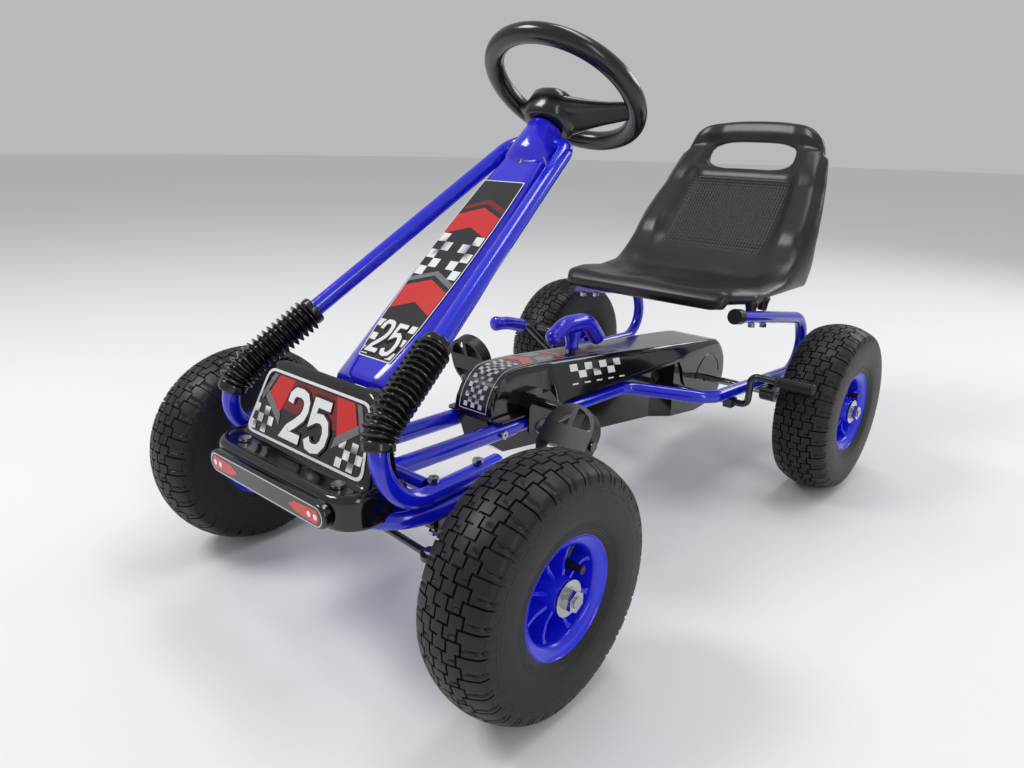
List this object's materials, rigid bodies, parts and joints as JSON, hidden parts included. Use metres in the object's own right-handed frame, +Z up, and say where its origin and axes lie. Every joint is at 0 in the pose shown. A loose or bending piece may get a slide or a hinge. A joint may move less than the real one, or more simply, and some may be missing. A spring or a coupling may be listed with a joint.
{
  "type": "pedal go kart",
  "caption": "Pedal go kart with a bent tube frame, chain drive in a case, air tyres, steering column, side brake lever and a bucket seat.",
  "frame": {"origin": "on the ground at the middle of the kart's footprint", "axes": "+Z up, -Y forward, +X the driver's left"},
  "size_m": [0.614, 1.0466, 0.654],
  "materials": {
    "frame_paint": "glossy enamel",
    "black_steel": "glossy black enamel",
    "zinc": "bright zinc plate",
    "chain_steel": "oiled steel",
    "nylon": "moulded nylon",
    "gloss_black": "glossy moulded plastic",
    "gloss_blue": "glossy moulded plastic",
    "satin_black": "satin blow-moulded plastic",
    "boot_rubber": "glossy moulded rubber",
    "tyre": "black tyre rubber"
  },
  "bodies": {
    "chassis": {"front_tube_left": "frame_paint", "front_tube_right": "frame_paint", "bumper_loop": "frame_paint", "front_rails": "frame_paint", "column_seats": "frame_paint", "rear_tube_left": "frame_paint", "rear_tube_right": "frame_paint", "kingpin_brackets": "frame_paint", "kingpin_bolts": "zinc", "axle_housings": "black_steel", "bushes": "nylon", "crank_brackets": "black_steel", "chain": "chain_steel", "nose": "gloss_black", "bumper_bar": "gloss_black", "fairing": "gloss_blue", "head_collar": "gloss_blue", "case_top": "gloss_black", "case_bottom": "gloss_black", "bellows_left": "boot_rubber", "bellows_right": "boot_rubber", "brake_clamps": "black_steel", "seat": "satin_black", "rail_caps": "satin_black", "bolts": "zinc"},
    "steering": {"steering_wheel": "satin_black", "steering_cap": "gloss_blue", "steering_column": "black_steel"},
    "knuckle_left": {"knuckle_left": "black_steel", "front_hub_nuts_left": "zinc"},
    "knuckle_right": {"knuckle_right": "black_steel", "front_hub_nuts_right": "zinc"},
    "front_wheel_left": {"front_tyre_left": "tyre", "front_inner_tube_left": "boot_rubber", "front_rim_left": "gloss_blue", "wheel_bearings_left": "zinc"},
    "front_wheel_right": {"front_tyre_right": "tyre", "front_inner_tube_right": "boot_rubber", "front_rim_right": "gloss_blue", "wheel_bearings_right": "zinc"},
    "tie_rod_left": {"tie_rod_left": "black_steel"},
    "tie_rod_right": {"tie_rod_right": "black_steel"},
    "rear_axle": {"rear_axle": "black_steel", "rear_sprocket": "chain_steel", "rear_hub_nuts": "zinc", "rear_tyre_left": "tyre", "rear_inner_tubes": "boot_rubber", "rear_rim_left": "gloss_blue", "rear_tyre_right": "tyre", "rear_rim_right": "gloss_blue"},
    "crank": {"crank": "black_steel", "crank_sprocket": "chain_steel"},
    "pedal_left": {"pedal_left": "satin_black"},
    "pedal_right": {"pedal_right": "satin_black"},
    "shift_lever": {"shift_lever": "black_steel", "shift_grip": "gloss_blue"},
    "brake": {"brake_rod": "black_steel", "brake_sleeves": "boot_rubber", "brake_grip": "gloss_blue"}
  },
  "joints": [
    {"name": "steering", "type": "hinge", "parent": "chassis", "child": "steering", "pos_m": [0, -0.059, 0.581], "axis": [0, 0.6143, 0.7891], "range_deg": [-25, 25]},
    {"name": "knuckle_left", "type": "hinge", "parent": "chassis", "child": "knuckle_left", "pos_m": [0.165, -0.389, 0.13], "axis": [0, 0, 1], "range_deg": [-17, 17]},
    {"name": "front_wheel_left", "type": "hinge", "parent": "knuckle_left", "child": "front_wheel_left", "pos_m": [0.25, -0.389, 0.13], "axis": [1, 0, 0], "continuous": true},
    {"name": "tie_rod_left", "type": "hinge", "parent": "knuckle_left", "child": "tie_rod_left", "pos_m": [0.165, -0.447, 0.1495], "axis": [0, 0, 1], "range_deg": [-17, 17]},
    {"name": "knuckle_right", "type": "hinge", "parent": "chassis", "child": "knuckle_right", "pos_m": [-0.165, -0.389, 0.13], "axis": [0, 0, 1], "range_deg": [-17, 17]},
    {"name": "front_wheel_right", "type": "hinge", "parent": "knuckle_right", "child": "front_wheel_right", "pos_m": [-0.25, -0.389, 0.13], "axis": [1, 0, 0], "continuous": true},
    {"name": "tie_rod_right", "type": "hinge", "parent": "knuckle_right", "child": "tie_rod_right", "pos_m": [-0.165, -0.447, 0.1495], "axis": [0, 0, 1], "range_deg": [-17, 17]},
    {"name": "rear_axle", "type": "hinge", "parent": "chassis", "child": "rear_axle", "pos_m": [0, 0.311, 0.13], "axis": [1, 0, 0], "continuous": true},
    {"name": "crank", "type": "hinge", "parent": "chassis", "child": "crank", "pos_m": [0, -0.145, 0.198], "axis": [1, 0, 0], "continuous": true, "deforming": ["chain"]},
    {"name": "pedal_left", "type": "hinge", "parent": "crank", "child": "pedal_left", "pos_m": [0.149, -0.218, 0.198], "axis": [1, 0, 0], "continuous": true},
    {"name": "pedal_right", "type": "hinge", "parent": "crank", "child": "pedal_right", "pos_m": [-0.149, -0.072, 0.198], "axis": [1, 0, 0], "continuous": true},
    {"name": "shift_lever", "type": "hinge", "parent": "chassis", "child": "shift_lever", "pos_m": [0, -0.019, 0.20525], "axis": [1, 0, 0], "range_deg": [-3, 10]},
    {"name": "brake", "type": "hinge", "parent": "chassis", "child": "brake", "pos_m": [0, 0.178, 0.1465], "axis": [1, 0, 0], "range_deg": [-10, 0]}
  ],
  "couplings": [
    {"joint": "knuckle_left", "follows": "steering", "ratio": 0.68},
    {"joint": "tie_rod_left", "follows": "steering", "ratio": -0.68},
    {"joint": "knuckle_right", "follows": "steering", "ratio": 0.68},
    {"joint": "tie_rod_right", "follows": "steering", "ratio": -0.68},
    {"joint": "crank", "follows": "rear_axle", "ratio": 0.77778}
  ]
}
